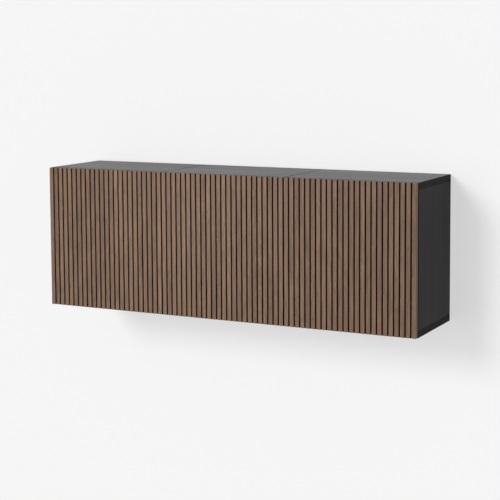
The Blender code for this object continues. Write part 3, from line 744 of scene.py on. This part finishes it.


# Doors. A flat panel with 24 upright slats on its front, in grey-brown walnut veneer. The grooves between the
# slats are stained nearly black, which also paints the shade in them. The edges where two doors meet are
# near black, a painted shade for the gap. The veneer runs over the others.

def veneer_material(name, light, dark, fineness=1.0, contrast=1.0):
    """Veneer whose figure is cut afresh for each slat, from the slat's own tone."""
    mat, tree, shader = new_material(name, 0.50)
    shader.inputs["Specular IOR Level"].default_value = 0.30
    slat_tone = put(tree, "ShaderNodeAttribute", attribute_name="slat_tone").outputs["Fac"]
    spread = put(tree, "ShaderNodeCombineXYZ", {0: slat_tone, 2: slat_tone}).outputs[0]
    shift = scaled(tree, spread, (5.3, 0.0, 3.1))
    grain = grain_in(tree, "Z", fineness, 9.0, shift)
    figure = grain_in(tree, "Z", 2.6 * fineness, 6.0, shift)
    lean = minus(tree, figure.outputs["Tone"], times(tree, figure.outputs["Ring"], 0.40))
    colour = mixed(tree, remap(tree, lean, (0.10, 0.70), (1.0, 0.0)), (*light, 1.0), (*dark, 1.0))
    shade = remap(tree, grain.outputs["Fibre"], (0.25, 0.75), (1.0 - 0.16 * contrast, 1.0 + 0.14 * contrast))
    streak = remap(tree, grain.outputs["Streak"], (0.30, 0.70), (1.0 - 0.25 * contrast, 1.0 + 0.25 * contrast))
    pored = times(tree, shade, remap(tree, grain.outputs["Pore"], (0.0, 1.0), (1.0, 0.72)))
    toned = times(tree, pored, maths(tree, "ADD", times(tree, slat_tone, 0.11), 1.0))
    toned = times(tree, toned, streak)
    figured = maths(tree, "GREATER_THAN", maths(tree, "FRACT", times(tree, slat_tone, 7.3)), 0.80)
    flecked = times(tree, times(tree, figured, grain.outputs["Fleck"]), 0.30)
    toned = times(tree, toned, minus(tree, 1.0, flecked))
    shade_colour(tree, shader, colour, toned)
    tree.links.new(remap(tree, grain.outputs["Fibre"], (0.2, 0.8), (0.44, 0.58)), shader.inputs["Roughness"])
    relief = minus(tree, grain.outputs["Fibre"], grain.outputs["Pore"])
    bump(tree, shader, relief, 0.4, 0.00015)
    return mat


veneer = veneer_material("walnut_veneer", (0.240, 0.145, 0.092), (0.157, 0.092, 0.056))
edge_veneer = veneer_material("walnut_edge", (0.205, 0.128, 0.083), (0.140, 0.086, 0.054), 1.2, 0.7)
# Near-black stain for the grooves and the slats' sides. It also paints the shade that falls in the grooves.
groove_stain_shade = foil_material("groove_stain_and_shade", (0.0230, 0.0042, 0.0042), "Z", 0.80, 0.01)


def slat_tree():
    """A row of slats along X: each a straight bar with rounded front edges and eased ends."""
    tree = bpy.data.node_groups.new("slat_row", "GeometryNodeTree")
    lengths = (
        "Pitch", "Width", "First Width", "Last Width", "Thickness", "Length", "Round", "Ease", "Edge Margin",
        "First X", "Y", "Z",
    )
    add_sockets(tree, "INPUT", dict.fromkeys(lengths, "Float"))
    add_sockets(tree, "INPUT", dict.fromkeys(("Count", "Seed"), "Int"))
    add_sockets(tree, "INPUT", dict.fromkeys(("Veneer", "Left Edge", "Right Edge", "Core", "Stain And Shade"), "Material"))
    add_sockets(tree, "OUTPUT", {"Geometry": "Geometry"})
    given = tree.nodes.new("NodeGroupInput").outputs

    def vector(x=0.0, y=0.0, z=0.0):
        return put(tree, "ShaderNodeCombineXYZ", {0: x, 1: y, 2: z}).outputs[0]

    def less(value, reduction):
        return minus(tree, value, times(tree, reduction, 2.0))

    full = (given["Width"], given["Thickness"])
    slim = [less(size, given["Ease"]) for size in full]
    section = put(tree, "GeometryNodeCurvePrimitiveQuadrilateral", {0: slim[0], 1: slim[1]}).outputs[0]
    rounded = put(
        tree, "GeometryNodeFilletCurve", {"Curve": section, "Count": 3, "Radius": given["Round"]}, mode="POLY",
    ).outputs[0]
    end = put(tree, "GeometryNodeFillCurve", {"Curve": rounded}, mode="NGONS").outputs[0]
    widen = vector(*(maths(tree, "DIVIDE", wide, narrow) for wide, narrow in zip(full, slim)), 1.0)
    shrink = vector(*(maths(tree, "DIVIDE", narrow, wide) for wide, narrow in zip(full, slim)), 1.0)
    here = put(tree, "GeometryNodeInputPosition").outputs[0]
    steps = (
        (vector(z=given["Ease"]), widen),
        (vector(z=less(given["Length"], given["Ease"])), None),
        (vector(z=given["Ease"]), shrink),
    )
    shape, chosen = end, True
    for step, change in steps:
        values = {"Mesh": shape, "Selection": chosen, "Offset": step, "Offset Scale": 1.0, "Individual": False}
        grown = put(tree, "GeometryNodeExtrudeMesh", values, mode="FACES")
        shape, chosen = grown.outputs["Mesh"], grown.outputs["Top"]
        if change:
            values = {"Geometry": shape, "Selection": chosen, "Position": scaled(tree, here, change)}
            shape = put(tree, "GeometryNodeSetPosition", values).outputs[0]
    foot = put(tree, "GeometryNodeFlipFaces", {0: end}).outputs[0]
    both = put(tree, "GeometryNodeJoinGeometry")
    tree.links.new(shape, both.inputs[0])
    tree.links.new(foot, both.inputs[0])
    slat = put(tree, "GeometryNodeMergeByDistance", {"Geometry": both.outputs[0], "Distance": 1e-6}).outputs[0]

    values = {
        "Count": given["Count"], "Start Location": vector(given["First X"], given["Y"], given["Z"]),
        "Offset": vector(given["Pitch"]),
    }
    line = put(tree, "GeometryNodeMeshLine", values, mode="OFFSET").outputs[0]
    index = put(tree, "GeometryNodeInputIndex").outputs[0]
    last = minus(tree, given["Count"], 1.0)
    at_first = maths(tree, "LESS_THAN", index, 0.5)
    at_last = maths(tree, "GREATER_THAN", index, minus(tree, last, 0.5))
    outward = minus(tree, at_last, at_first)
    extra_first = minus(tree, given["First Width"], given["Width"])
    extra_last = minus(tree, given["Last Width"], given["Width"])
    extra = maths(tree, "ADD", times(tree, at_first, extra_first), times(tree, at_last, extra_last))
    shift = times(tree, outward, times(tree, extra, 0.5))
    points = put(tree, "GeometryNodeSetPosition", {"Geometry": line, "Offset": vector(shift)}).outputs[0]
    stretch = maths(tree, "DIVIDE", extra, given["Width"])
    values = {"Points": points, "Instance": slat, "Scale": vector(maths(tree, "ADD", stretch, 1.0), 1.0, 1.0)}
    row = put(tree, "GeometryNodeInstanceOnPoints", values).outputs[0]
    tone = put(tree, "FunctionNodeRandomValue", {2: -1.0, 3: 1.0, "Seed": given["Seed"]}).outputs[1]
    named = put(
        tree, "GeometryNodeStoreNamedAttribute", {"Geometry": row, "Name": "slat_tone", "Value": tone},
        data_type="FLOAT", domain="INSTANCE",
    ).outputs[0]
    real = put(tree, "GeometryNodeRealizeInstances", {0: named}).outputs[0]

    normal = put(tree, "ShaderNodeSeparateXYZ", {0: put(tree, "GeometryNodeInputNormal").outputs[0]}).outputs
    place = put(tree, "ShaderNodeSeparateXYZ", {0: here}).outputs
    start = minus(tree, given["First X"], minus(tree, given["First Width"], given["Edge Margin"]))
    finish = maths(tree, "ADD", given["First X"], times(tree, given["Pitch"], last))
    finish = maths(tree, "ADD", finish, minus(tree, given["Last Width"], given["Edge Margin"]))
    on_left = maths(tree, "LESS_THAN", place[0], start)
    on_right = maths(tree, "GREATER_THAN", place[0], finish)
    on_front = maths(tree, "LESS_THAN", normal[1], -0.3)
    on_end = maths(tree, "GREATER_THAN", maths(tree, "ABSOLUTE", normal[2]), 0.5)
    # Every face of a slat starts with the groove stain, which is painted shade as well, and the finishes below are
    # chosen over it.
    done = put(tree, "GeometryNodeSetMaterial", {"Geometry": real, "Material": given["Stain And Shade"]}).outputs[0]
    finishes = ((on_front, "Veneer"), (on_left, "Left Edge"), (on_right, "Right Edge"), (on_end, "Core"))
    for choice, finish_name in finishes:
        values = {"Geometry": done, "Selection": choice, "Material": given[finish_name]}
        done = put(tree, "GeometryNodeSetMaterial", values).outputs[0]
    tree.links.new(done, tree.nodes.new("NodeGroupOutput").inputs[0])
    return tree


slat_row = slat_tree()
slat_count = 24
groove_width, groove_depth = 0.0065, 0.0050
slat_seat = 0.0004
slat_round, slat_ease = 0.0009, 0.0004
edge_margin = 0.010     # a door's edge finish starts at the end slat's width less this from its middle
meeting_relief = 0.0006
module_pitch = (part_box("door_right")[0].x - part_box("door_left")[0].x) / 2
slat_pitch = module_pitch / slat_count
for seed, module in enumerate(modules):
    low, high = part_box(f"door_{module}")
    left_edge = (low.x + high.x - module_pitch) / 2
    end_width = left_edge + slat_pitch - groove_width / 2 - low.x
    host = new_object(f"door_slats_{module}", bpy.data.meshes.new("slats"))
    change = host.modifiers.new("slats", "NODES")
    change.node_group = slat_row
    sizes = {
        "Pitch": slat_pitch, "Width": slat_pitch - groove_width,
        "First Width": end_width - (0.0 if module == "left" else meeting_relief),
        "Last Width": end_width - (0.0 if module == "right" else meeting_relief),
        "Thickness": groove_depth + slat_seat, "Length": high.z - low.z,
        "Round": slat_round, "Ease": slat_ease, "Edge Margin": edge_margin,
        "First X": left_edge + slat_pitch / 2, "Y": low.y + (groove_depth + slat_seat) / 2, "Z": low.z,
        "Count": slat_count, "Seed": 40 + seed, "Veneer": veneer, "Core": edge_veneer, "Stain And Shade": groove_stain_shade,
        "Left Edge": edge_veneer if module == "left" else painted_gap_shade,
        "Right Edge": edge_veneer if module == "right" else painted_gap_shade,
    }
    for label, value in sizes.items():
        tree_input(change, label, value)
    as_mesh(host)
    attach(host, f"{module}_door")


# Door panels. The flat part behind the slats, of particle board: its back, ends and outer edges are veneered,
# the edges where two doors meet carry the painted shade, its front is stained under the grooves with a stain
# that also paints their shade, and the hinge cups are bored into its back.

def box_mesh(low, high):
    bm = bmesh.new()
    bmesh.ops.create_cube(bm, size=1.0)
    middle = (low + high) / 2
    for vert in bm.verts:
        vert.co = Vector(middle[i] + vert.co[i] * (high[i] - low[i]) for i in range(3))
    return bm


def panel_faces(low, high, groove_floor, module):
    """Chooses the back's veneer, the edges', the front's groove stain with its painted shade, the raw core in the
    bores, or the painted shade of an edge where two doors meet.
    """
    def choose(face):
        middle = face.calc_center_median()
        if middle.y < groove_floor + board_round / 4:
            return 2
        if middle.x < low.x + board_round:
            return 1 if module == "left" else 4
        if middle.x > high.x - board_round:
            return 1 if module == "right" else 4
        if min(middle.z - low.z, high.z - middle.z) < board_round:
            return 1
        return 0 if middle.y > high.y - board_round / 4 else 3
    return choose


panel_veneer = veneer_material("walnut_back", (0.235, 0.155, 0.107), (0.180, 0.118, 0.080), 0.8, 0.7)
bore_radius, bore_depth, bore_inset = 0.0175, 0.0115, 0.0215
for module in modules:
    low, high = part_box(f"door_{module}")
    groove_floor = low.y + groove_depth
    panel = object_of(box_mesh(Vector((low.x, groove_floor, low.z)), high), f"door_panel_{module}")
    bore_x = hinge_edges[module] + hands[module] * bore_inset
    for height in heights:
        cup_low, cup_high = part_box(f"hinge_cup_{module}_{height}")
        bored(panel, bore_radius, bore_depth, 40, (bore_x, high.y, (cup_low.z + cup_high.z) / 2), "X")
    piece_from(
        mesh_back(panel), f"door_back_{module}", (panel_veneer, edge_veneer, groove_stain_shade, chipboard, painted_gap_shade),
        f"{module}_door", "door", f"door_{module}", choose=panel_faces(low, high, groove_floor, module),
        smooth=round_below,
    )


# Bumpers. Small milky domes of soft plastic, stuck to the back of each door near its free corners, so that
# it closes without a knock.

clear_plastic = marked_material("clear_bumper", (0.62, 0.62, 0.60), 0.30, 0.0, grain=900.0)
bumper_radius, bumper_height, bumper_inset, bumper_end = 0.0042, 0.0017, 0.0105, 0.045
angles = [math.pi / 2 * i / 6 for i in range(6)]
dome = [(bumper_radius * math.cos(a), bumper_height * math.sin(a)) for a in angles]
bumper = object_of(turned([(0.0, 0.0), *dome, (0.0, bumper_height)], 24), "bumper")
for module in modules:
    low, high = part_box(f"door_{module}")
    free_x = high.x - bumper_inset if hands[module] > 0 else low.x + bumper_inset
    spots = [((free_x, high.y, z), (0, 1, 0)) for z in (low.z + bumper_end, high.z - bumper_end)]
    set_rows(f"bumpers_{module}", bumper, spots, clear_plastic, f"{module}_door")
drop(bumper)


# Push latches. A moulded grey housing is screwed under the top board, and its sprung plunger, with a magnet
# in the tip, pushes the door open. A thin steel strike plate on the door's back meets the magnet.

latch_plastic = marked_material("latch_plastic", (0.155, 0.157, 0.165), 0.48, 0.0, grain=2600.0, depth=0.0001)
plunger_plastic = marked_material("plunger_plastic", (0.26, 0.265, 0.28), 0.40, 0.0, grain=2600.0, depth=0.0001)
case_round = 0.0005
latch_screw_offset, latch_screw_back, latch_flange = 0.0118, 0.029, 0.0025
magnet_radius, strike_radius = 0.0034, 0.0090
magnet = object_of(turned([
    (0.0, -0.001), (magnet_radius, -0.001), (magnet_radius, 0.0), (magnet_radius - 0.0003, 0.0001), (0.0, 0.0001),
], 24), "magnet")
strike = object_of(turned([
    (0.0, -0.001), (strike_radius, -0.001), (strike_radius, 0.0001), (strike_radius - 0.0002, 0.0002),
    (0.0, 0.0002),
], 40), "strike")
latch_screws = []
for module in modules:
    housing = merged_copy(f"latch_housing_{module}")
    soften(housing, case_round, shortest=0.003)
    piece_from(
        housing, f"latch_case_{module}", (latch_plastic,), "carcass", "latch_plastic", f"latch_housing_{module}",
        smooth=round_below,
    )
    plunger = merged_copy(f"latch_plunger_{module}")
    piece_from(
        plunger, f"latch_pin_{module}", (plunger_plastic,), f"{module}_plunger", "latch_plastic",
        f"latch_plunger_{module}", smooth=40,
    )
    low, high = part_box(f"latch_housing_{module}")
    middle = (low.x + high.x) / 2
    for way in (-1, 1):
        spot = (middle + way * latch_screw_offset, low.y + latch_screw_back, high.z - latch_flange)
        latch_screws.append((spot, (0, 0, -1)))
    tip_low, tip_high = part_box(f"latch_plunger_{module}")
    axis = Vector(((tip_low.x + tip_high.x) / 2, tip_low.y, (tip_low.z + tip_high.z) / 2))
    set_rows(
        f"latch_magnet_{module}", magnet, [(axis, (0, -1, 0))], nickel, f"{module}_plunger", 0.0,
    )
    door_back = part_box(f"door_{module}")[1].y
    set_rows(
        f"strike_plate_{module}", strike, [((axis.x, door_back, axis.z), (0, 1, 0))], zinc, f"{module}_door",
        0.0,
    )
latch_head = pan_head("latch_head", radius=0.0031, height=0.0014)
set_rows("latch_screws", latch_head, latch_screws, zinc, "carcass", seed=23)
drop(magnet, strike, latch_head)


# Stage. A white wall just behind the cabinet and a white floor well below it. Both catch its soft shadow and
# vanish from behind, so that the cabinet's back is lit and shows. Four broad suns and a pale sky light it, and
# a small lamp that spares the wall and floor lifts the left door.

ambient, background = 0.18, 0.919
suns = {
    "key": (Vector((-0.488, -1.00, 0.458)).normalized(), 1.86, 20.0),
    "front": (Vector((-0.333, -1.00, 0.0)).normalized(), 0.575, 28.0),
    "side": (Vector((1.000, 0.30, 0.35)).normalized(), 0.52, 50.0),
    "back": (Vector((0.300, 1.00, 0.75)).normalized(), 1.30, 40.0),
}
whitest = 0.98
shadow_share = 0.41     # how much of the wall's and floor's tone takes the light; the rest glows evenly


def seen(tree):
    """1 for camera, glossy and transmission rays, and 0 for the others."""
    path = put(tree, "ShaderNodeLightPath").outputs
    mirrored = maths(tree, "MAXIMUM", path["Is Glossy Ray"], path["Is Transmission Ray"])
    return maths(tree, "MAXIMUM", path["Is Camera Ray"], mirrored)


def stage_plane(name, corners, normal):
    light = ambient + sum(power * max(way.dot(normal), 0.0) / math.pi for way, power, _ in suns.values())
    mesh = bpy.data.meshes.new(name)
    mesh.from_pydata(corners, [], [(0, 1, 2, 3)])
    plane = new_object(name, mesh)
    mat, tree, shader = new_material(name, 1.0)
    tree.nodes.remove(shader)
    white = min(background / light, whitest)
    paint = put(tree, "ShaderNodeBsdfDiffuse", {0: (white, white, white, 1.0)}).outputs[0]
    rest = (background - shadow_share * white * light) / (1.0 - shadow_share)
    glow = put(tree, "ShaderNodeEmission", {0: (rest, rest, rest, 1.0), 1: 1.0}).outputs[0]
    face = put(tree, "ShaderNodeMixShader", {0: shadow_share, 1: glow, 2: paint}).outputs[0]
    clear = put(tree, "ShaderNodeBsdfTransparent").outputs[0]
    front = minus(tree, 1.0, put(tree, "ShaderNodeNewGeometry").outputs["Backfacing"])
    shown = times(tree, front, seen(tree))
    both = put(tree, "ShaderNodeMixShader", {0: shown, 1: clear, 2: face}).outputs[0]
    tree.links.new(both, tree.nodes["Material Output"].inputs["Surface"])
    mesh.materials.append(mat)
    plane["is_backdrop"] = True
    return plane


reach, floor_z, wall_y = 30.0, -1.75, 0.0008
ends = (-reach, reach, reach, -reach)
wall_corners = [(x, wall_y, z) for x, z in zip(ends, (floor_z, floor_z, reach, reach))]
wall = stage_plane("wall", wall_corners, Vector((0, -1, 0)))
floor_corners = [(x, y, floor_z) for x, y in zip(ends, (-reach, -reach, reach, reach))]
floor = stage_plane("floor", floor_corners, Vector((0, 0, 1)))
for name, (way, power, softness) in suns.items():
    lamp = new_object(name, bpy.data.lights.new(name, "SUN"))
    lamp.data.energy = power
    lamp.data.angle = math.radians(softness)
    lamp.rotation_euler = way.to_track_quat("Z", "Y").to_euler()

wash = new_object("wash", bpy.data.lights.new("wash", "AREA"))
wash_aim = Vector((-0.35, -0.42, -0.10))
wash.data.energy = 2.1
wash.data.size = 0.5
wash.location = (wash_aim.x, -1.29, wash_aim.z)
wash.rotation_euler = (wash.location - wash_aim).to_track_quat("Z", "Y").to_euler()
spared = bpy.data.collections.new("spared")
for plane in (wall, floor):
    spared.objects.link(plane)
for entry in spared.collection_objects:
    entry.light_linking.link_state = "EXCLUDE"
wash.light_linking.receiver_collection = spared

world = bpy.data.worlds.new("studio")
bpy.context.scene.world = world
world.use_nodes = True
sky = world.node_tree
lit = put(sky, "ShaderNodeBackground", {0: (1.0, 1.0, 1.0, 1.0), 1: ambient}).outputs[0]
plain = put(sky, "ShaderNodeBackground", {0: (background,) * 3 + (1.0,), 1: 1.0}).outputs[0]
air = put(sky, "ShaderNodeMixShader", {0: seen(sky), 1: lit, 2: plain}).outputs[0]
sky.links.new(air, sky.nodes["World Output"].inputs["Surface"])


# Camera. Fitted to the edges of the cabinet and the grooves of its doors in the photograph, in its frame of
# 500 x 500 pixels.

photo_width, axis_row, focal_pixels = 500.0, 170.0, 1366.80
standpoint = (2.7847, -5.6137, 0.6359)
yaw, pitch, roll = (math.radians(angle) for angle in (-26.9571, -5.2463, -0.3456))
ahead = Vector((math.sin(yaw) * math.cos(pitch), math.cos(yaw) * math.cos(pitch), math.sin(pitch)))
level = Vector((math.cos(yaw), -math.sin(yaw), 0.0))
upward = level.cross(ahead)
across = level * math.cos(roll) + upward * math.sin(roll)
upward = upward * math.cos(roll) - level * math.sin(roll)
camera = new_object("camera", bpy.data.cameras.new("camera"))
camera.data.sensor_width = 36.0
camera.data.lens = focal_pixels / photo_width * camera.data.sensor_width
camera.data.shift_y = (axis_row - photo_width / 2) / photo_width
camera.data.clip_end = 200.0
turn = Matrix((across, upward, -ahead)).transposed().to_4x4()
camera.matrix_world = Matrix.Translation(standpoint) @ turn
bpy.context.scene.camera = camera
bpy.context.scene.view_settings.view_transform = "Standard"

low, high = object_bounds()
